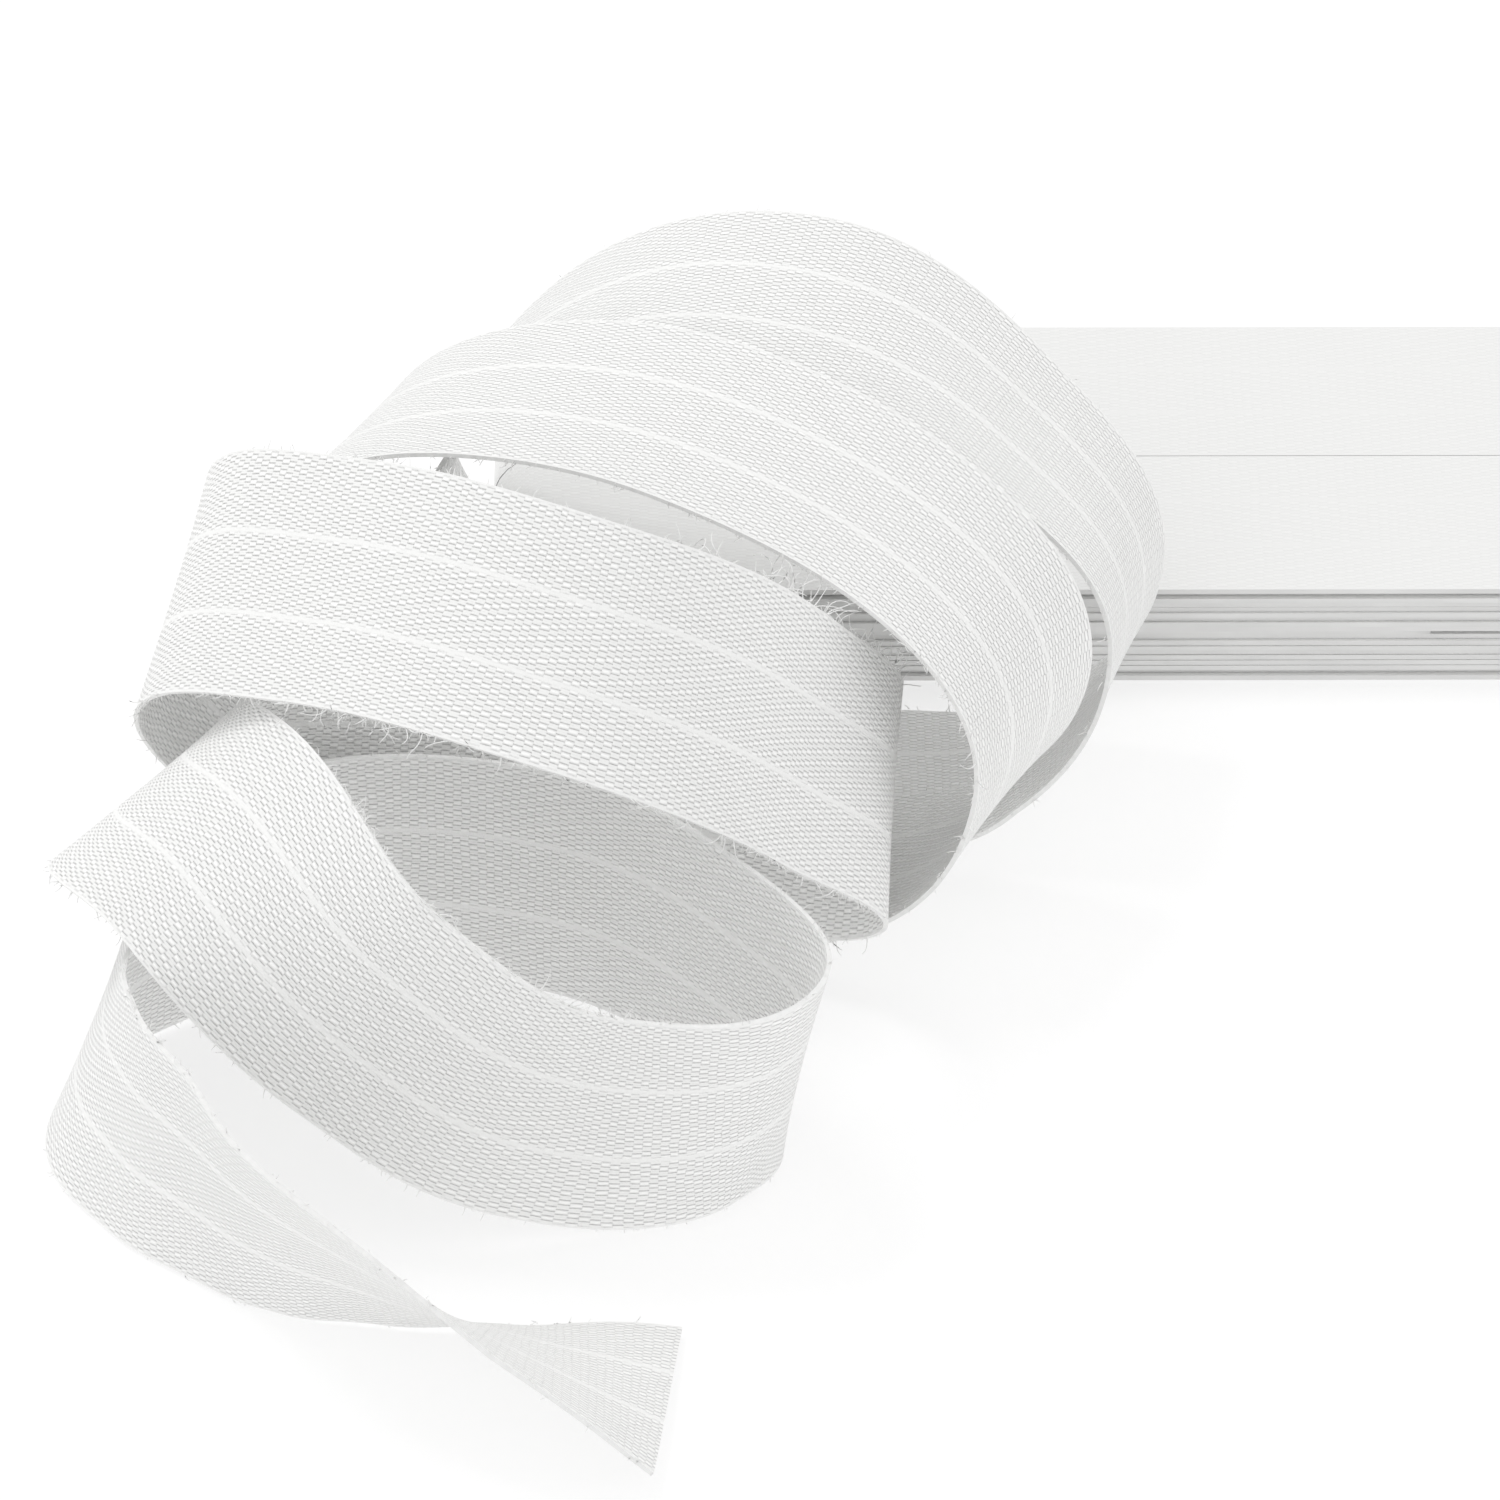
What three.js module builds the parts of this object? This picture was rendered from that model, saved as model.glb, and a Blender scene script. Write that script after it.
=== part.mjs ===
// A roll of white seam tape: a flat-wound bolt of two columns, and the loose tape
// that leaves the bolt's left fold and falls forward through five open loops.
// Millimetres, +Z up, +Y away from the viewer.
import * as THREE from "three";

// The bolt lies flat. Each column is one tape wide and wound round and round, so
// its outline in X and Z is a slot shape with round fold ends.
const BOLT = { left: -21.5, right: 78.5, near: -1.2, depth: 42, height: 9, foldSteps: 14 };

// Profile of the wound side, from the middle slit out to the outermost turn.
// inset: how far in from the outermost turn; back: how far in from the side face.
const SIDE_PROFILE = [
  { inset: 4.3, back: 3.2 },
  { inset: 3.95, back: 3.2 },
  { inset: 3.95, back: 0.35 },
  { inset: 2.45, back: 0.1 },
  { inset: 2.35, back: 0.5 },
  { inset: 2.15, back: 0.5 },
  { inset: 2.05, back: 0.15 },
  { inset: 1.15, back: 0.15 },
  { inset: 1.15, back: 0.9 },
  { inset: 0.75, back: 0.9 },
  { inset: 0.7, back: 0.0 },
  { inset: 0.15, back: 0.0 },
  { inset: 0.0, back: 0.25 },
];

// Profile of the gap between the two columns, measured from the middle of the depth.
const COLUMN_GAP = [
  { inset: 0.0, off: -0.4 },
  { inset: 0.5, off: -0.2 },
  { inset: 0.5, off: 0.2 },
  { inset: 0.0, off: 0.4 },
];

// The loose tape. handle: length of each span's curve handles, as a share of its chord.
const TAPE = { width: 20, thick: 1, spanSteps: 6, across: 2, handle: 0.38 };

// One row per station along the middle of the tape: its place, and the turn and rise
// in degrees of the direction that runs across the tape from its near or lower edge.
const STATIONS = [
  // leaves the bolt's left fold
  { x: -22.5, y: 10.5, z: 3, turn: 0, rise: 0 },
  // first hoop, standing in front of the bolt
  { x: -23.4, y: 5, z: 19, turn: 12, rise: 0 },
  { x: -1, y: -4, z: 38, turn: 22, rise: 10 },
  { x: 20.2, y: -11, z: 31, turn: 10, rise: 4 },
  { x: 30.1, y: -17, z: 16, turn: 14, rise: -4 },
  { x: 21, y: -18.5, z: 3.8, turn: 14, rise: 0 },
  { x: 6, y: -18.8, z: 2, turn: 8, rise: 0 },
  { x: -14, y: -19, z: 1.6, turn: 6, rise: 0 },
  // second hoop, lapping over the front edge of the first
  { x: -34, y: -11.8, z: 21, turn: 26, rise: 0 },
  { x: -4, y: -25.3, z: 38.8, turn: 29, rise: 6 },
  { x: 20.8, y: -38.5, z: 16, turn: 26, rise: 0 },
  { x: 0, y: -34, z: 2.6, turn: 10, rise: 5 },
  { x: -28, y: -31, z: 9.5, turn: 15, rise: 20 },
  // third loop, leaning forward
  { x: -43.4, y: -40.2, z: 33.3, turn: 20, rise: 38 },
  { x: -32, y: -51, z: 40.2, turn: 21, rise: 38 },
  { x: -14, y: -60, z: 40.5, turn: 22, rise: 38 },
  { x: 4.3, y: -50.5, z: 25.5, turn: 15, rise: 36 },
  { x: 10.2, y: -42, z: 13.8, turn: 3, rise: 34 },
  { x: -6, y: -37.5, z: 13.2, turn: 8, rise: 62 },
  { x: -30, y: -40, z: 17, turn: 50, rise: 62 },
  // fourth loop, a ring with its left side raised
  { x: -44.4, y: -49, z: 21.8, turn: 90, rise: 46 },
  { x: -39.7, y: -67, z: 27.1, turn: 78, rise: 32 },
  { x: -28.5, y: -78.6, z: 19.8, turn: 86, rise: 56 },
  { x: -14, y: -80.4, z: 11.6, turn: 94, rise: 62 },
  { x: 3, y: -74, z: 10.4, turn: 120, rise: 76 },
  { x: -4, y: -56.5, z: 10.6, turn: 112, rise: 84 },
  { x: -18, y: -46.5, z: 10.8, turn: 90, rise: 86 },
  { x: -41, y: -50, z: 10.6, turn: 90, rise: 84 },
  // fifth loop, standing on its lower edge and falling outward to a cut end
  { x: -49.5, y: -66, z: 9.7, turn: 90, rise: 69 },
  { x: -46.6, y: -78.5, z: 10.2, turn: 96, rise: 82 },
  { x: -41, y: -86.5, z: 10.3, turn: 190, rise: 84 },
  { x: -36.4, y: -92, z: 9.9, turn: 190, rise: 70 },
  { x: -28.2, y: -97, z: 8.6, turn: 191, rise: 53 },
  { x: -18, y: -100.5, z: 5.6, turn: 188, rise: 30 },
  { x: -6, y: -102, z: 1.3, turn: 184, rise: 3 },
];

const CLOTH_WHITE = 0xf2f1ee;

function meshOf(name, points, faces) {
  const geometry = new THREE.BufferGeometry();
  const flat = points.flatMap((p) => [p.x, p.y, p.z]);
  geometry.setAttribute("position", new THREE.Float32BufferAttribute(flat, 3));
  geometry.setIndex(faces.flat());
  geometry.computeVertexNormals();
  const mesh = new THREE.Mesh(geometry, new THREE.MeshStandardMaterial({ color: CLOTH_WHITE }));
  mesh.name = name;
  return mesh;
}

// Joins equal rings of points into a skin, and closes both ends with strips that
// pair each ring's first half with its second half read backwards.
function skinOf(rings) {
  const size = rings[0].length;
  const half = size / 2;
  const faces = [];
  const quad = (a, b, c, d) => faces.push([a, b, c], [a, c, d]);
  for (let k = 0; k + 1 < rings.length; k += 1) {
    for (let i = 0; i < size; i += 1) {
      const next = (i + 1) % size;
      quad(k * size + i, k * size + next, (k + 1) * size + next, (k + 1) * size + i);
    }
  }
  const last = (rings.length - 1) * size;
  for (let i = 0; i + 1 < half; i += 1) {
    const far = size - 1 - i;
    quad(i + 1, i, far, far - 1);
    quad(last + i, last + i + 1, last + far - 1, last + far);
  }
  return faces;
}

function boltRing(inset, y) {
  const radius = BOLT.height / 2;
  const ring = [];
  for (const side of [1, -1]) {
    const centre = side > 0 ? BOLT.right - radius : BOLT.left + radius;
    for (let i = 0; i <= BOLT.foldSteps; i += 1) {
      const angle = (Math.PI * i) / BOLT.foldSteps + (side > 0 ? 0 : Math.PI);
      const r = radius - inset;
      ring.push(new THREE.Vector3(centre + r * Math.sin(angle), y, radius + r * Math.cos(angle)));
    }
  }
  return ring;
}

function buildBolt() {
  const far = BOLT.near + BOLT.depth;
  const middle = BOLT.near + BOLT.depth / 2;
  const rings = [
    ...SIDE_PROFILE.map((row) => boltRing(row.inset, BOLT.near + row.back)),
    ...COLUMN_GAP.map((row) => boltRing(row.inset, middle + row.off)),
    ...SIDE_PROFILE.toReversed().map((row) => boltRing(row.inset, far - row.back)),
  ];
  return meshOf("bolt", rings.flat(), skinOf(rings));
}

function acrossOf(station) {
  const turn = THREE.MathUtils.degToRad(station.turn);
  const rise = THREE.MathUtils.degToRad(station.rise);
  const level = Math.cos(rise);
  return new THREE.Vector3(Math.sin(turn) * level, Math.cos(turn) * level, Math.sin(rise));
}

// Directions of the tape's middle line at every station: the longer span counts less.
function tangentsOf(places) {
  const spans = places.slice(1).map((p, i) => p.clone().sub(places[i]));
  return places.map((_, i) => {
    if (i === 0) return new THREE.Vector3(0, 0, 1);
    if (i === places.length - 1) return spans[i - 1].clone().normalize();
    const before = spans[i - 1].clone().normalize().multiplyScalar(spans[i].length());
    const after = spans[i].clone().normalize().multiplyScalar(spans[i - 1].length());
    return before.add(after).normalize();
  });
}

// A smooth value between two neighbours in a list, from the four nearest.
function blend(list, i, t) {
  const slopeAt = (k) => {
    const low = list[Math.max(k - 1, 0)];
    const high = list[Math.min(k + 1, list.length - 1)];
    const share = k === 0 || k === list.length - 1 ? 1 : 0.5;
    return high.clone().sub(low).multiplyScalar(share);
  };
  const t2 = t * t;
  const t3 = t2 * t;
  return new THREE.Vector3()
    .addScaledVector(list[i], 2 * t3 - 3 * t2 + 1)
    .addScaledVector(slopeAt(i), t3 - 2 * t2 + t)
    .addScaledVector(list[i + 1], 3 * t2 - 2 * t3)
    .addScaledVector(slopeAt(i + 1), t3 - t2);
}

// Sections of the tape: centre, direction along, direction across.
function tapeSections() {
  const places = STATIONS.map((s) => new THREE.Vector3(s.x, s.y, s.z));
  const across = STATIONS.map(acrossOf);
  const tangents = tangentsOf(places);
  const sections = [];
  for (let i = 0; i + 1 < places.length; i += 1) {
    const reach = places[i].distanceTo(places[i + 1]) * TAPE.handle;
    const curve = new THREE.CubicBezierCurve3(
      places[i],
      places[i].clone().addScaledVector(tangents[i], reach),
      places[i + 1].clone().addScaledVector(tangents[i + 1], -reach),
      places[i + 1],
    );
    const steps = i + 2 === places.length ? TAPE.spanSteps : TAPE.spanSteps - 1;
    for (let k = 0; k <= steps; k += 1) {
      const t = k / TAPE.spanSteps;
      const along = curve.getTangent(t);
      const wide = blend(across, i, t);
      wide.addScaledVector(along, -wide.dot(along)).normalize();
      sections.push({ centre: curve.getPoint(t), along, wide });
    }
  }
  return sections;
}

function buildTape() {
  const rings = tapeSections().map(({ centre, along, wide }) => {
    const face = new THREE.Vector3().crossVectors(along, wide);
    const point = (j, side) =>
      centre
        .clone()
        .addScaledVector(wide, TAPE.width * (j / TAPE.across - 0.5))
        .addScaledVector(face, (side * TAPE.thick) / 2);
    const columns = [...Array(TAPE.across + 1).keys()];
    return [...columns.map((j) => point(j, -1)), ...columns.toReversed().map((j) => point(j, 1))];
  });
  return meshOf("loose_tape", rings.flat(), skinOf(rings));
}

// Stands the finished roll on the floor with its footprint centred on the origin.
function centred(group) {
  const box = new THREE.Box3().setFromObject(group);
  const middle = box.getCenter(new THREE.Vector3());
  for (const mesh of group.children) {
    mesh.geometry.translate(-middle.x, -middle.y, -box.min.z);
  }
  return group;
}

const roll = new THREE.Group();
roll.name = "seam_tape_roll";
roll.add(buildBolt(), buildTape());

export default centred(roll);
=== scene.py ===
# Roll of white cotton seam tape: the flat-wound bolt and its loose end in open loops.
import math
import random

import bmesh
import bpy
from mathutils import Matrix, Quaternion, Vector


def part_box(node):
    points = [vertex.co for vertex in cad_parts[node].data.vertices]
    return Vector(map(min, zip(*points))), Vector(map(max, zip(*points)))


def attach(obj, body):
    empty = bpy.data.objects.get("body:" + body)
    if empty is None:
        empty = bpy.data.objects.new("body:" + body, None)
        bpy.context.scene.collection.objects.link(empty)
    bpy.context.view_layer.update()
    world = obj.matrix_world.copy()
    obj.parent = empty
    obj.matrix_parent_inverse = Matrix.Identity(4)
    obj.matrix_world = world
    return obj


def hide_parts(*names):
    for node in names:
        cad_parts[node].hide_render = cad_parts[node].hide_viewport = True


MM = 0.001
MATH = "ShaderNodeMath"

# Tape, in millimetres. The cloth is thinner than the solid that stands for it.
TAPE_WIDTH = 20
TAPE_THICK = 0.36
SECTION_STEP = 0.45
CUP_DEPTH = 0.15
EDGE_WAVE = 0.12
# Its grid and curve: squares across, the handles' share of each span's chord, the marks
# that measure each span, and the share of a span over which its slope is taken.
TAPE_ACROSS = 12
HANDLE = 0.38
SPAN_MARKS = 40
SLOPE_REACH = 0.002
# Its unevenness: millimetres to a radian, share of the seed, and weight of each wave.
RIPPLES = [(7.3, 1.0, 1.0), (11.9, 2.1, 1.0), (3.1, 3.7, 0.6)]

# Weave, in millimetres: 2/2 herringbone in three stripes across the tape. It is plain
# beside each line where it turns back, wholly so within PLAIN_CORE.
PICK_PITCH = 0.66
TWILL_REPEAT = 0.92
STRIPE_WIDTH = 6.667
PLAIN_WIDTH = 0.35
PLAIN_CORE = 0.05
THREAD_RELIEF = 0.16
# In twill repeats: how far each pick steps on from the last, and where a stripe starts.
PICK_STEP = 0.25
TWILL_START = 0.125
# Noise on the cloth, as a scale per millimetre, and how far the slow one moves a thread.
WANDER_SCALE = 0.35
FIBRE_SCALE = 5.0
WANDER_ALONG = 0.5
WANDER_ACROSS = 0.25
# The threads' roundness, as powers: the lower, the fuller.
WEFT_ROUND = 0.6
PICK_ROUND = 0.5
WARP_ROUND = 0.4
# Heights, as shares of THREAD_RELIEF.
PICK_EDGE = 0.5
GROUND_HEIGHT = 0.35
RIDGE_HEIGHT = 0.15
PLAIN_HEIGHT = 0.45
FIBRE_HEIGHT = 0.25
# The heights at which the cloth's colour ramp reaches the painted shade of the gaps and of the
# ground.
GAP_LEVEL = 0.12
GROUND_LEVEL = 0.42

# The bolt in the stations' frame, in millimetres.
BOLT_LEFT = -21.5
BOLT_RIGHT = 78.5
BOLT_NEAR = -1.2
BOLT_HEIGHT = 9
COLUMN_WIDTH = 20.8
COLUMN_PITCH = 20.9
TURN_PITCH = 0.46
TURN_THICK = 0.42
TURNS = 9.3
COLUMN_MARGIN = 0.05
# Its grid: steps to each turn, and squares across.
TURN_STEPS = 100
COLUMN_ACROSS = 10
# The share of a turn that goes round each fold.
BEND_SHARE = 0.12
# How far each half turn of the bolt sits in from the side, from outside in: its lower
# half and its upper half by turns. The rest are between 0 and LOOSE_INSET.
OUTER_INSETS = [0.0, 0.0, 0.5, 0.6, 0.05, 0.05]
LOOSE_INSET = 0.4
# The share of each half turn that keeps its inset, and the share where it changes.
INSET_HOLD = 0.8
INSET_CHANGE = 0.2

# One row per station along the middle of the tape, in millimetres: its place, and the
# turn and rise in degrees of the direction that runs across the tape.
STATIONS = [
    # x, y, z, turn, rise
    (-17.3, 8.9, 0.5, 0, 0),
    (-22.3, 9.9, 5.0, 0, 0),
    (-23.4, 5.0, 19.0, 12, 0),
    (-1.0, -4.0, 38.0, 22, 10),
    (20.2, -11.0, 31.0, 10, 4),
    (30.1, -17.0, 16.0, 14, -4),
    (21.0, -18.5, 3.8, 14, 0),
    (6.0, -18.8, 2.0, 8, 0),
    (-14.0, -19.0, 1.6, 6, 0),
    (-34.0, -11.8, 21.0, 26, 0),
    (-4.0, -25.3, 38.8, 29, 6),
    (20.8, -38.5, 16.0, 26, 0),
    (0.0, -34.0, 2.6, 10, 5),
    (-28.0, -31.0, 9.5, 15, 20),
    (-43.4, -40.2, 33.3, 20, 38),
    (-32.0, -51.0, 40.2, 21, 38),
    (-14.0, -60.0, 40.5, 22, 38),
    (4.3, -50.5, 25.5, 15, 36),
    (10.2, -42.0, 13.8, 3, 34),
    (-6.0, -37.5, 13.2, 8, 62),
    (-30.0, -40.0, 17.0, 50, 62),
    (-44.4, -49.0, 21.8, 90, 46),
    (-39.7, -67.0, 27.1, 78, 32),
    (-28.5, -78.6, 19.8, 86, 56),
    (-14.0, -80.4, 11.6, 94, 62),
    (3.0, -74.0, 10.4, 120, 76),
    (-4.0, -56.5, 10.6, 112, 84),
    (-18.0, -46.5, 10.8, 90, 86),
    (-41.0, -50.0, 10.6, 90, 84),
    (-49.5, -66.0, 9.7, 90, 69),
    (-46.6, -78.5, 10.2, 96, 82),
    (-41.0, -86.5, 10.3, 190, 84),
    (-36.4, -92.0, 9.9, 190, 70),
    (-28.2, -97.0, 8.6, 191, 53),
    (-18.0, -100.5, 5.6, 188, 30),
    (-6.0, -102.0, 1.3, 184, 3),
]
LOOSE_START = Vector((-1, 0, 0))

# The photograph's view: looking along +Y from above, with a long lens.
VIEW_RISE = math.radians(32.5)
VIEW_DISTANCE = 900
VIEW_TARGET = Vector((0, -11.5, 0))
VIEW_LENS = 270
VIEW_SENSOR = 36

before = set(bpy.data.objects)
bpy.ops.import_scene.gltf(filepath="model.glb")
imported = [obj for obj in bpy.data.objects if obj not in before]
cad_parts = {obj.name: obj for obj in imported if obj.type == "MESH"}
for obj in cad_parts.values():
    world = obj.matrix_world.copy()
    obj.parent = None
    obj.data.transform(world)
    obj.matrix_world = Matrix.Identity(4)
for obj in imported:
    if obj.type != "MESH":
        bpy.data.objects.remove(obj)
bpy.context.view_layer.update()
bolt_lo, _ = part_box("bolt")
ORIGIN = Vector(bolt_lo) - Vector((BOLT_LEFT, BOLT_NEAR, 0)) * MM


def placed(point):
    """A point in the stations' millimetres, in the row frame's metres."""
    return ORIGIN + Vector(point) * MM


def colour(hex_code):
    """An sRGB hex colour as linear RGBA."""
    parts = [int(hex_code[i:i + 2], 16) / 255 for i in (1, 3, 5)]
    return [p / 12.92 if p <= 0.04045 else ((p + 0.055) / 1.055) ** 2.4 for p in parts] + [1]


def add_node(tree, kind, inputs=None, **settings):
    """Adds a node. inputs maps a socket to a value, a socket or another node."""
    node = tree.nodes.new(kind)
    for name, value in settings.items():
        setattr(node, name, value)
    for key, value in (inputs or {}).items():
        if isinstance(value, bpy.types.Node):
            value = value.outputs[0]
        if isinstance(value, bpy.types.NodeSocket):
            tree.links.new(value, node.inputs[key])
        else:
            node.inputs[key].default_value = value
    return node


def mesh_piece(name, bm, *materials):
    """A finished object from a bmesh, in the row frame's metres."""
    mesh = bpy.data.meshes.new(name)
    bm.to_mesh(mesh)
    bm.free()
    mesh.shade_smooth()
    piece = bpy.data.objects.new(name, mesh)
    bpy.context.scene.collection.objects.link(piece)
    for material in materials:
        mesh.materials.append(material)
    return piece


# Cloth


def white_cotton(name, back, ground_shade, gap_shade, relief):
    """Bleached cotton herringbone, matt, with picks that catch the light as rows of dots.
    The pattern runs on the UV map, whose unit is one millimetre along and across."""
    material = bpy.data.materials.new(name)
    material.use_nodes = True
    tree = material.node_tree
    shader = tree.nodes["Principled BSDF"]
    shader.inputs["Roughness"].default_value = 0.9
    shader.inputs["Specular IOR Level"].default_value = 0.2
    shader.inputs["Sheen Weight"].default_value = 0.1
    shader.inputs["Sheen Roughness"].default_value = 0.5

    # Noise over the cloth: a slow one for a little wander in the threads, and a fine one
    # for their fibres.
    uv = add_node(tree, "ShaderNodeUVMap", uv_map="cloth")
    wander = add_node(
        tree, "ShaderNodeTexNoise", {"Vector": uv, "Scale": WANDER_SCALE, "Detail": 2.0},
        noise_dimensions="2D",
    )
    fibre = add_node(
        tree, "ShaderNodeTexNoise", {"Vector": uv, "Scale": FIBRE_SCALE, "Detail": 3.0},
        noise_dimensions="2D",
    )
    split = add_node(tree, "ShaderNodeSeparateXYZ", {0: uv})
    along = add_node(
        tree, MATH, {0: wander, 1: WANDER_ALONG, 2: split.outputs["X"]}, operation="MULTIPLY_ADD"
    )
    across = add_node(
        tree, MATH, {0: wander, 1: WANDER_ACROSS, 2: split.outputs["Y"]}, operation="MULTIPLY_ADD"
    )

    # Where the threads lie: picks along the tape, twill lines across it that turn back
    # at each stripe. The floats break there, by half a repeat.
    picks = add_node(tree, MATH, {0: along, 1: PICK_PITCH}, operation="DIVIDE")
    pick_index = add_node(tree, MATH, {0: picks}, operation="FLOOR")
    folded = add_node(tree, MATH, {0: across, 1: STRIPE_WIDTH}, operation="PINGPONG")
    lines = add_node(
        tree, MATH, {0: folded, 1: 1 / TWILL_REPEAT, 2: TWILL_START}, operation="MULTIPLY_ADD"
    )
    stripes = add_node(tree, MATH, {0: across, 1: STRIPE_WIDTH}, operation="DIVIDE")
    stripe_index = add_node(tree, MATH, {0: stripes}, operation="FLOOR")
    odd_stripe = add_node(tree, MATH, {0: stripe_index, 1: 2.0}, operation="MODULO")
    broken = add_node(tree, MATH, {0: odd_stripe, 1: 0.5, 2: lines}, operation="MULTIPLY_ADD")
    phase = add_node(
        tree, MATH, {0: pick_index, 1: PICK_STEP, 2: broken}, operation="MULTIPLY_ADD"
    )
    turned = add_node(tree, MATH, {0: phase, 1: 2 * math.pi}, operation="MULTIPLY")
    wave = add_node(tree, MATH, {0: turned}, operation="SINE")

    # Weft floats: round-backed dots, each as long as half a twill repeat.
    over = add_node(tree, MATH, {0: wave, 1: 0.0}, operation="MAXIMUM")
    over_round = add_node(tree, MATH, {0: over, 1: WEFT_ROUND}, operation="POWER")
    pick_angle = add_node(tree, MATH, {0: picks, 1: math.pi}, operation="MULTIPLY")
    pick_sine = add_node(tree, MATH, {0: pick_angle}, operation="SINE")
    pick_back = add_node(tree, MATH, {0: pick_sine}, operation="ABSOLUTE")
    pick_full = add_node(tree, MATH, {0: pick_back, 1: PICK_ROUND}, operation="POWER")
    pick_round = add_node(
        tree, MATH, {0: pick_full, 1: 1 - PICK_EDGE, 2: PICK_EDGE}, operation="MULTIPLY_ADD"
    )
    weft = add_node(tree, MATH, {0: over_round, 1: pick_round}, operation="MULTIPLY")

    # Warp floats: a lower ground with the ends' fine ridges.
    under = add_node(tree, MATH, {0: wave, 1: -1.0}, operation="MULTIPLY")
    under_part = add_node(tree, MATH, {0: under, 1: 0.0}, operation="MAXIMUM")
    under_round = add_node(tree, MATH, {0: under_part, 1: WARP_ROUND}, operation="POWER")
    end_angle = add_node(tree, MATH, {0: lines, 1: 4 * math.pi}, operation="MULTIPLY")
    end_sine = add_node(tree, MATH, {0: end_angle}, operation="SINE")
    end_back = add_node(tree, MATH, {0: end_sine}, operation="ABSOLUTE")
    low_ridge = add_node(
        tree, MATH, {0: end_back, 1: RIDGE_HEIGHT, 2: GROUND_HEIGHT}, operation="MULTIPLY_ADD"
    )
    warp = add_node(tree, MATH, {0: under_round, 1: low_ridge}, operation="MULTIPLY")

    threads = add_node(tree, MATH, {0: weft, 1: warp}, operation="MAXIMUM")

    # The selvedges and the stripes' turning lines are plain.
    from_line = add_node(
        tree, MATH, {0: split.outputs["Y"], 1: STRIPE_WIDTH / 2}, operation="PINGPONG"
    )
    inside = add_node(tree, "ShaderNodeMapRange", {0: from_line, 1: PLAIN_CORE, 2: PLAIN_WIDTH})
    body = add_node(tree, "ShaderNodeMix", {0: inside, 2: PLAIN_HEIGHT, 3: threads})
    height = add_node(tree, MATH, {0: fibre, 1: FIBRE_HEIGHT, 2: body}, operation="MULTIPLY_ADD")
    bump = add_node(
        tree,
        "ShaderNodeBump",
        {"Height": height, "Strength": relief, "Distance": THREAD_RELIEF * MM},
    )
    tree.links.new(bump.outputs[0], shader.inputs["Normal"])

    # Painted shade between the threads: the colour darkens with the threads' height, darkest in
    # the gaps and lightest on the floats' backs.
    tint = add_node(tree, "ShaderNodeValToRGB", {0: height})
    ramp = tint.color_ramp.elements
    ramp[0].position = GAP_LEVEL
    ramp[0].color = colour(gap_shade)
    ramp[1].position = 1.0
    ramp[1].color = colour(back)
    middle = ramp.new(GROUND_LEVEL)
    middle.color = colour(ground_shade)
    tree.links.new(tint.outputs[0], shader.inputs["Base Color"])
    return material


def cotton_edge(name, low, high, stretch):
    """The tape's selvedge and the stacked edges of the bolt: plain cotton without a weave,
    in faint streaks along the tape."""
    material = bpy.data.materials.new(name)
    material.use_nodes = True
    tree = material.node_tree
    shader = tree.nodes["Principled BSDF"]
    shader.inputs["Roughness"].default_value = 0.95
    shader.inputs["Specular IOR Level"].default_value = 0.1
    uv = add_node(tree, "ShaderNodeUVMap", uv_map="cloth")
    streaked = add_node(tree, "ShaderNodeMapping", {0: uv, "Scale": (stretch, 1.0, 1.0)})
    noise = add_node(
        tree, "ShaderNodeTexNoise", {"Vector": streaked, "Scale": 1.0, "Detail": 3.0},
        noise_dimensions="2D",
    )
    tint = add_node(
        tree, "ShaderNodeMix", {0: noise, 6: colour(low), 7: colour(high)}, data_type="RGBA"
    )
    tree.links.new(tint.outputs[2], shader.inputs["Base Color"])
    return material


# Each cloth's colours run from the floats' backs through the ground to the gaps; the darker
# ground and gaps are painted shade between the threads.
COTTON = white_cotton("bleached_cotton_herringbone", "#FFFFFE", "#F1F1F0", "#BEBEBD", 1.0)
WOUND_COTTON = white_cotton("wound_cotton_herringbone", "#EDEDEC", "#EAEAE9", "#E0E0DF", 0.2)
SELVEDGE = cotton_edge("cotton_selvedge", "#E4E4E3", "#F6F6F5", 1.5)
# The bolt's stacked edges are painted a darker grey than its faces: painted shade on sides that
# face away from the light from above.
SHADED_WOUND_EDGES = cotton_edge("shaded_stacked_cotton_edges", "#D2D2D1", "#E8E8E7", 0.12)


def cotton_lint():
    """Single cotton fibres: pale and a little glassy, with a faint change of tone."""
    material = bpy.data.materials.new("cotton_lint")
    material.use_nodes = True
    tree = material.node_tree
    shader = tree.nodes["Principled BSDF"]
    shader.inputs["Roughness"].default_value = 0.6
    noise = add_node(
        tree,
        "ShaderNodeTexNoise",
        {"Vector": add_node(tree, "ShaderNodeTexCoord").outputs["Object"], "Scale": 900.0},
    )
    tint = add_node(
        tree, "ShaderNodeMix", {0: noise, 6: colour("#F0F0EF"), 7: colour("#FFFFFE")},
        data_type="RGBA",
    )
    tree.links.new(tint.outputs[2], shader.inputs["Base Color"])
    return material


LINT = cotton_lint()


# The way the loose tape runs


def across_of(turn, rise):
    """The direction across the tape: +Y turned towards +X, then raised, both in degrees."""
    turn, rise = math.radians(turn), math.radians(rise)
    level = math.cos(rise)
    return Vector((math.sin(turn) * level, math.cos(turn) * level, math.sin(rise)))


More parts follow.
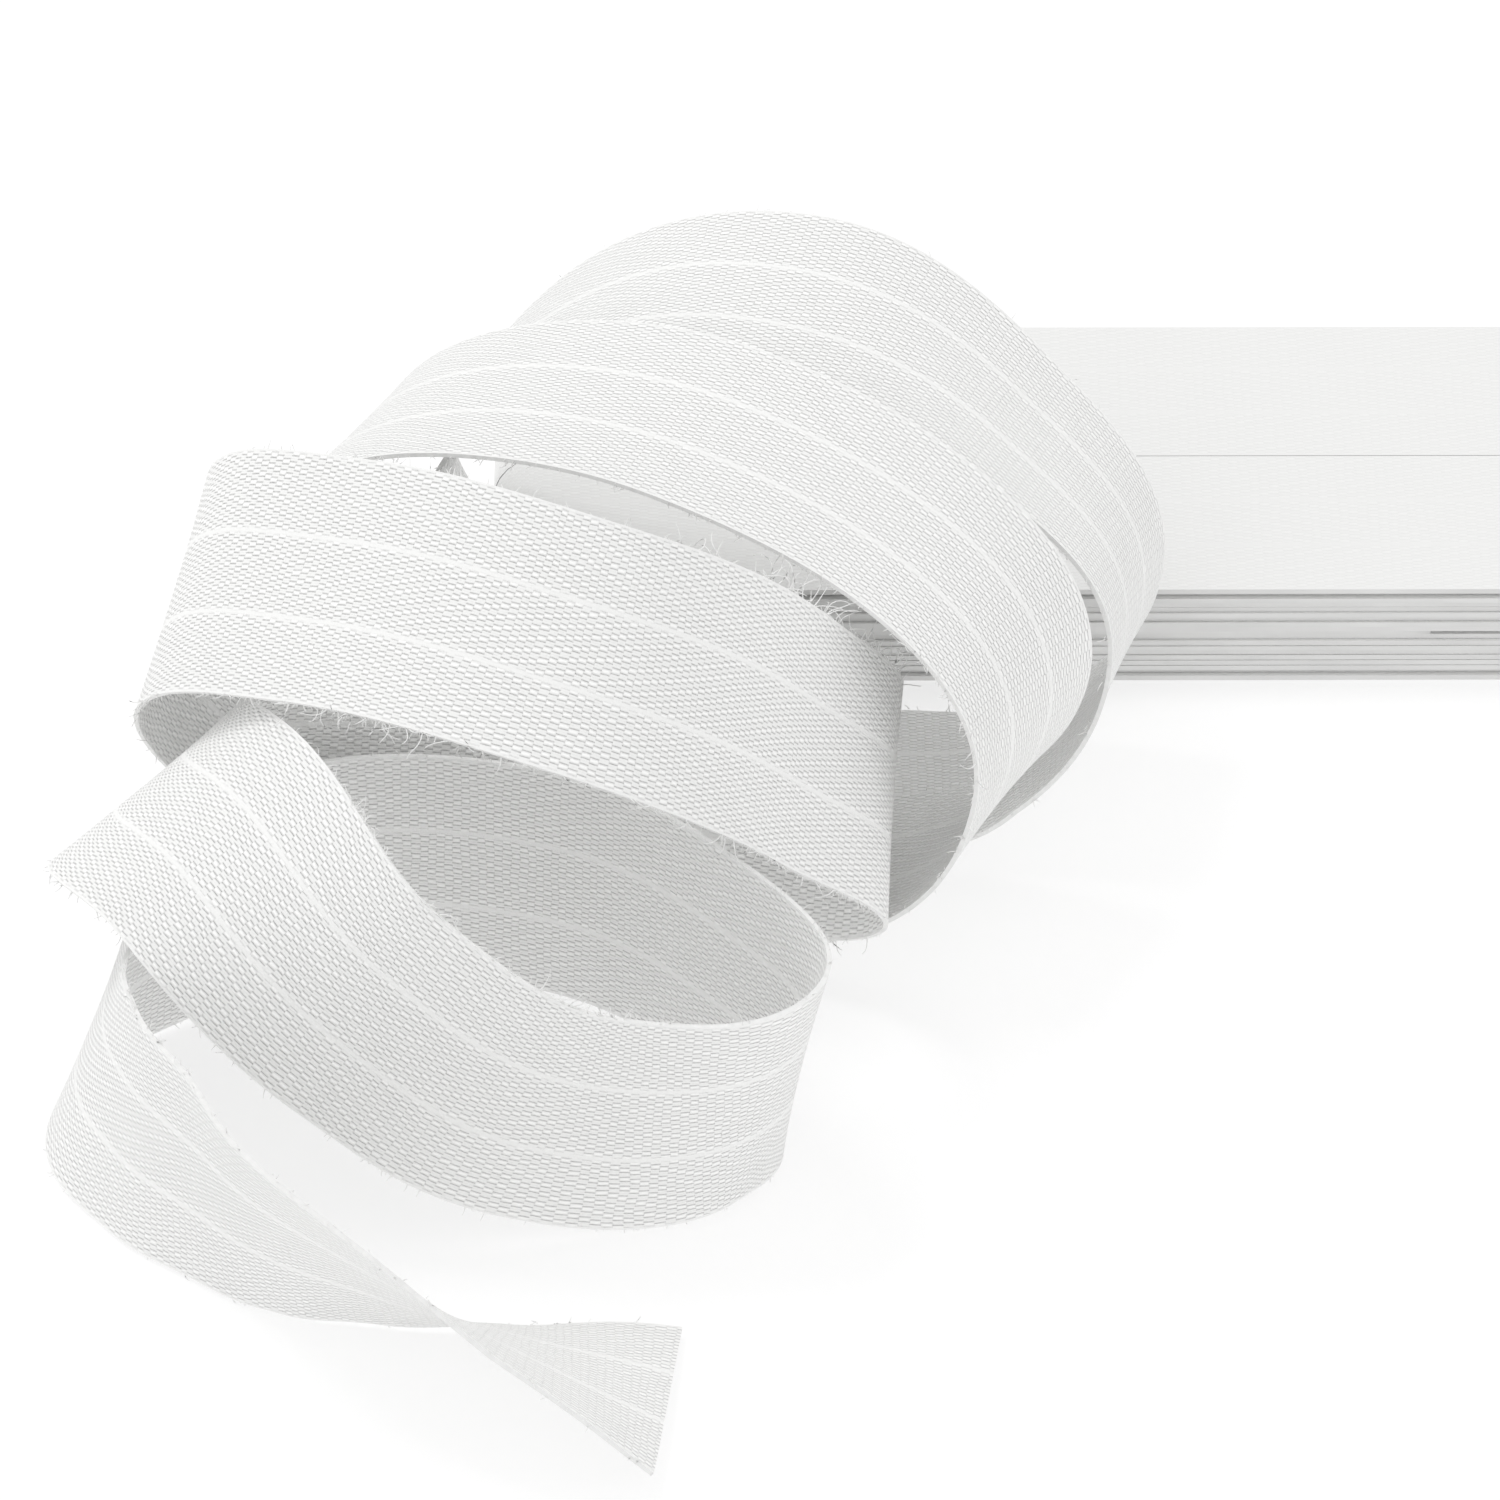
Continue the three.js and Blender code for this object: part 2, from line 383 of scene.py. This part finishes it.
class TapeRun:
    """The middle line of the loose tape, with its width direction, by distance along."""

    def __init__(self, stations, start):
        self.points = [Vector(s[:3]) for s in stations]
        self.across = [across_of(s[3], s[4]) for s in stations]
        spans = [b - a for a, b in zip(self.points, self.points[1:])]
        self.tangents = [start]
        for before, after in zip(spans, spans[1:]):
            lean = before.normalized() * after.length + after.normalized() * before.length
            self.tangents.append(lean.normalized())
        self.tangents.append(spans[-1].normalized())
        self.marks = []
        walked = 0.0
        previous = self.points[0]
        for i in range(len(spans)):
            for k in range(SPAN_MARKS):
                t = k / SPAN_MARKS
                point = self.centre(i, t)
                walked += (point - previous).length
                previous = point
                self.marks.append((walked, i + t))
        walked += (self.points[-1] - previous).length
        self.marks.append((walked, float(len(spans))))
        self.length = walked

    def centre(self, i, t):
        """The middle of the tape at a share t of span i."""
        a, d = self.points[i], self.points[i + 1]
        reach = (d - a).length * HANDLE
        b = a + self.tangents[i] * reach
        c = d - self.tangents[i + 1] * reach
        s = 1 - t
        return a * s**3 + b * (3 * s * s * t) + c * (3 * s * t * t) + d * t**3

    def width_way(self, i, t):
        """The way across the tape there, blended from the four nearest stations."""
        ways = self.across

        def slope(k):
            share = 1 if k in (0, len(ways) - 1) else 0.5
            return (ways[min(k + 1, len(ways) - 1)] - ways[max(k - 1, 0)]) * share

        return (
            ways[i] * (2 * t**3 - 3 * t**2 + 1)
            + slope(i) * (t**3 - 2 * t**2 + t)
            + ways[i + 1] * (3 * t**2 - 2 * t**3)
            + slope(i + 1) * (t**3 - t**2)
        )

    def at_station(self, place):
        """Centre, width direction and face normal at a station number with a fraction."""
        i = min(int(place), len(self.points) - 2)
        t = place - i
        centre = self.centre(i, t)
        low = self.centre(i, max(t - SLOPE_REACH, 0))
        high = self.centre(i, min(t + SLOPE_REACH, 1))
        along = (high - low).normalized()
        wide = self.width_way(i, t)
        wide = (wide - along * wide.dot(along)).normalized()
        return centre, wide, along.cross(wide)

    def at(self, distance):
        """The same at a distance along the tape."""
        marks = self.marks
        low, high = 0, len(marks) - 1
        while high - low > 1:
            middle = (low + high) // 2
            if marks[middle][0] <= distance:
                low = middle
            else:
                high = middle
        span = marks[high][0] - marks[low][0]
        share = (distance - marks[low][0]) / span if span else 0
        return self.at_station(marks[low][1] + (marks[high][1] - marks[low][1]) * share)


def cloth_grid(length, along_steps, across_steps):
    """A flat strip of tape as a grid, with its UV map in millimetres."""
    bm = bmesh.new()
    bmesh.ops.create_grid(bm, x_segments=along_steps, y_segments=across_steps, size=0.5)
    uv = bm.loops.layers.uv.new("cloth")
    for face in bm.faces:
        for loop in face.loops:
            x, y, _ = loop.vert.co
            loop[uv].uv = ((x + 0.5) * length, (y + 0.5) * TAPE_WIDTH)
    for edge in bm.edges:
        edge.smooth = not edge.is_boundary
    return bm


def thicken(piece, thick):
    """Gives a strip its thickness, with the piece's second material on its edges."""
    wall = piece.modifiers.new("cloth_thickness", "SOLIDIFY")
    wall.thickness = thick * MM
    wall.offset = 0
    wall.material_offset_rim = 1


def ripple(distance, seed):
    """A small smooth unevenness along the tape, between -1 and 1."""
    total = 0.0
    for reach, shift, weight in RIPPLES:
        total += weight * math.sin(distance / reach + shift * seed)
    return total / sum(weight for _, _, weight in RIPPLES)


def loose_tape():
    """The loose tape's cloth, a little cupped and uneven, kept above the floor."""
    run = TapeRun(STATIONS, LOOSE_START)
    steps = round(run.length / SECTION_STEP)
    bm = cloth_grid(run.length, steps, TAPE_ACROSS)
    sections = {}
    for vert in bm.verts:
        share = round((vert.co.x + 0.5) * steps)
        if share not in sections:
            distance = run.length * share / steps
            sections[share] = (distance, run.at(distance))
        distance, (centre, wide, face) = sections[share]
        side = 2 * vert.co.y
        wave = EDGE_WAVE * abs(side) * ripple(distance, 1 + side)
        spot = centre + wide * (TAPE_WIDTH / 2 * side) + face * (CUP_DEPTH * side * side + wave)
        spot.z = max(spot.z, TAPE_THICK / 2)
        vert.co = placed(spot)
    piece = mesh_piece("loose_tape_cloth", bm, COTTON, SELVEDGE)
    thicken(piece, TAPE_THICK)
    return piece, run


def racetrack(share, inset):
    """A point on a turn of the bolt: share runs once round from the left fold's foot."""
    radius = BOLT_HEIGHT / 2
    straight = BOLT_RIGHT - BOLT_LEFT - BOLT_HEIGHT
    left, right = BOLT_LEFT + radius, BOLT_RIGHT - radius
    flat_share = 0.5 - BEND_SHARE
    r = radius - inset
    if share < flat_share:
        return Vector((left + straight * share / flat_share, 0, radius - r))
    if share < 0.5:
        angle = math.pi * (share - 0.5 + BEND_SHARE) / BEND_SHARE
        return Vector((right + r * math.sin(angle), 0, radius - r * math.cos(angle)))
    if share < 1 - BEND_SHARE:
        return Vector((right - straight * (share - 0.5) / flat_share, 0, radius + r))
    angle = math.pi * (share - 1 + BEND_SHARE) / BEND_SHARE
    return Vector((left - r * math.sin(angle), 0, radius + r * math.cos(angle)))


def wound_column(name, near_edge, seed):
    """One column of the bolt: a single tape wound round and round from outside in."""
    chooser = random.Random(seed)
    halves = round(2 * TURNS) + 2
    insets = OUTER_INSETS + [chooser.uniform(0, LOOSE_INSET) for _ in range(halves)]
    turn_length = 2 * (BOLT_RIGHT - BOLT_LEFT)
    bm = cloth_grid(turn_length * TURNS, round(TURNS * TURN_STEPS), COLUMN_ACROSS)
    for vert in bm.verts:
        turns = (vert.co.x + 0.5) * TURNS
        spot = racetrack(turns % 1, TURN_THICK / 2 + TURN_PITCH * turns)
        half, share = divmod(2 * turns, 1)
        # Each half turn keeps its own inset until it comes to the fold.
        share = max(0.0, (share - INSET_HOLD) / INSET_CHANGE)
        inset = insets[int(half)] * (1 - share) + insets[int(half) + 1] * share
        spot.y = near_edge + COLUMN_WIDTH / 2 + (COLUMN_WIDTH - 2 * inset) * vert.co.y
        vert.co = placed(spot)
    piece = mesh_piece(name, bm, WOUND_COTTON, SHADED_WOUND_EDGES)
    thicken(piece, TURN_THICK)
    return piece


tape, tape_run = loose_tape()
near_column = wound_column("near_column_cloth", BOLT_NEAR + COLUMN_MARGIN, seed=3)
far_column = wound_column("far_column_cloth", BOLT_NEAR + COLUMN_MARGIN + COLUMN_PITCH, seed=8)


# Loose fibres along the tape's edges, in millimetres


FIBRE_ROOT = 0.1
FIBRE_STEP = 0.35
FIBRE_LEAST_STEPS = 4
FIBRE_TAPER = 0.6
FIBRE_WANDER = 0.25
FIBRE_LOWEST = 0.1
FUZZ_START = 20.0
FUZZ_END = 1
FUZZ_SPACING = 0.4
FUZZ_RADIUS = 0.055
FUZZ_LENGTH = (0.3, 1.0)
FUZZ_CURL = 0.9
FUZZ_OFF_MIDDLE = 0.2
HAIR_RADIUS = 0.065
HAIR_SHARE = (0.4, 1.2)
HAIR_CURL = 0.8
HAIR_OFF_MIDDLE = 0.2
# How far a fibre may tip off the cloth's face and slant along its edge, for each step out.
FUZZ_TIP = (-0.8, 0.8)
FUZZ_SLANT = (-1, 1)
HAIR_TIP = (-0.6, 1.0)
HAIR_SLANT = (-1.5, 1.5)
# Where the long hairs are: first and last station place, edge side, how many, length.
HAIR_TUFTS = [
    (16.2, 18.2, 1, 34, 3.0),
    (15.2, 18.3, -1, 50, 2.2),
    (15.0, 15.8, -1, 10, 3.5),
    (22.3, 24.2, 1, 44, 1.8),
    (29.6, 30.6, 1, 10, 1.6),
    (14.0, 15.0, -1, 8, 2.0),
    (10.5, 10.95, -1, 12, 2.2),
    (16.6, 17.7, 1, 40, 3.0),
    (26.0, 27.4, 1, 10, 2.0),
]


def add_fibre(bm, start, way, length, curl, root_radius, chooser):
    """A curly hair as a three-sided tube that narrows to its tip."""
    steps = max(FIBRE_LEAST_STEPS, int(length / FIBRE_STEP))
    point = Vector(start)
    heading = Vector(way).normalized()
    bend_axis = Vector([chooser.gauss(0, 1) for _ in range(3)]).normalized()
    ring = None
    for k in range(steps + 1):
        side = heading.orthogonal().normalized()
        other = heading.cross(side)
        radius = root_radius * (1 - FIBRE_TAPER * k / steps)
        corners = []
        for j in range(3):
            angle = 2 * math.pi * j / 3
            offset = side * math.cos(angle) + other * math.sin(angle)
            corners.append(bm.verts.new(placed(point + offset * radius)))
        if ring:
            for j in range(3):
                bm.faces.new((ring[j], ring[(j + 1) % 3], corners[(j + 1) % 3], corners[j]))
        else:
            bm.faces.new(tuple(reversed(corners)))
        ring = corners
        turn = curl * (0.5 + chooser.random()) * length / steps
        heading.rotate(Quaternion(bend_axis, turn))
        drift = Vector([chooser.gauss(0, FIBRE_WANDER) for _ in range(3)])
        bend_axis = (bend_axis + drift).normalized()
        point = point + heading * (length / steps)
        point.z = max(point.z, FIBRE_LOWEST)
    bm.faces.new(tuple(ring))


def edge_root(section, side, off_middle):
    """Where a fibre starts: just inside one edge, off the middle of the cloth's thickness."""
    centre, wide, face = section
    return centre + wide * (side * (TAPE_WIDTH / 2 - FIBRE_ROOT)) + face * off_middle


def way_out(section, side, tip, slant, chooser):
    """A way out from one edge, tipped off the face and slanted along the edge by chance."""
    _, wide, face = section
    off_face = chooser.uniform(*tip)
    along = chooser.uniform(*slant)
    return wide * side + face * off_face + wide.cross(face) * along


def edge_fibres():
    """Short fuzz along both edges, and longer curly hairs where the photo has them."""
    chooser = random.Random(11)
    bm = bmesh.new()
    distance = FUZZ_START
    while distance < tape_run.length - FUZZ_END:
        side = chooser.choice((-1, 1))
        section = tape_run.at(distance)
        start = edge_root(section, side, chooser.uniform(-FUZZ_OFF_MIDDLE, FUZZ_OFF_MIDDLE))
        way = way_out(section, side, FUZZ_TIP, FUZZ_SLANT, chooser)
        add_fibre(bm, start, way, chooser.uniform(*FUZZ_LENGTH), FUZZ_CURL, FUZZ_RADIUS, chooser)
        distance += chooser.expovariate(1 / FUZZ_SPACING)
    for first, last, side, count, length in HAIR_TUFTS:
        for _ in range(count):
            section = tape_run.at_station(chooser.uniform(first, last))
            start = edge_root(section, side, HAIR_OFF_MIDDLE)
            way = way_out(section, side, HAIR_TIP, HAIR_SLANT, chooser)
            hair_length = length * chooser.uniform(*HAIR_SHARE)
            add_fibre(bm, start, way, hair_length, HAIR_CURL, HAIR_RADIUS, chooser)
    return mesh_piece("edge_lint", bm, LINT)


lint = edge_fibres()

for piece in (tape, near_column, far_column, lint):
    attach(piece, "root")
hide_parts("loose_tape")
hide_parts("bolt")


# Floor, light and camera


# Half the floor's side, in metres, and how brightly the floor and the room shine.
FLOOR_REACH = 6
FLOOR_GLOW = 0.6
ROOM_BRIGHTNESS = 0.93


def pale_floor():
    """A matt white paper sweep that shines a little, so that it comes out white."""
    material = bpy.data.materials.new("white_paper_sweep")
    material.use_nodes = True
    shader = material.node_tree.nodes["Principled BSDF"]
    shader.inputs["Base Color"].default_value = colour("#B0B0B0")
    shader.inputs["Roughness"].default_value = 1.0
    shader.inputs["Specular IOR Level"].default_value = 0.0
    shader.inputs["Emission Color"].default_value = colour("#FFFFFF")
    shader.inputs["Emission Strength"].default_value = FLOOR_GLOW
    bm = bmesh.new()
    bmesh.ops.create_grid(bm, x_segments=1, y_segments=1, size=FLOOR_REACH)
    mesh_piece("floor", bm, material)


def soft_box(name, place, size, power):
    """A square area light aimed at the middle of the roll."""
    data = bpy.data.lights.new(name, "AREA")
    data.shape = "SQUARE"
    data.size = size
    data.energy = power
    lamp = bpy.data.objects.new(name, data)
    lamp.location = place
    aim = placed(VIEW_TARGET) - Vector(place)
    lamp.rotation_euler = aim.to_track_quat("-Z", "Y").to_euler()
    bpy.context.scene.collection.objects.link(lamp)


pale_floor()
soft_box("key_from_left", place=(-0.42, 0.3, 0.9), size=0.35, power=1.9)

world = bpy.data.worlds.new("white_room")
bpy.context.scene.world = world
world.use_nodes = True
room_light = world.node_tree.nodes["Background"]
room_light.inputs["Color"].default_value = (1, 1, 1, 1)
room_light.inputs["Strength"].default_value = ROOM_BRIGHTNESS

camera_data = bpy.data.cameras.new("photo_view")
camera_data.lens = VIEW_LENS
camera_data.sensor_width = VIEW_SENSOR
camera = bpy.data.objects.new("photo_view", camera_data)
back_off = Vector((0, -math.cos(VIEW_RISE), math.sin(VIEW_RISE))) * VIEW_DISTANCE
camera.location = placed(VIEW_TARGET + back_off)
camera.rotation_euler = (math.pi / 2 - VIEW_RISE, 0, 0)
bpy.context.scene.collection.objects.link(camera)
bpy.context.scene.camera = camera
bpy.context.scene.view_settings.view_transform = "Standard"
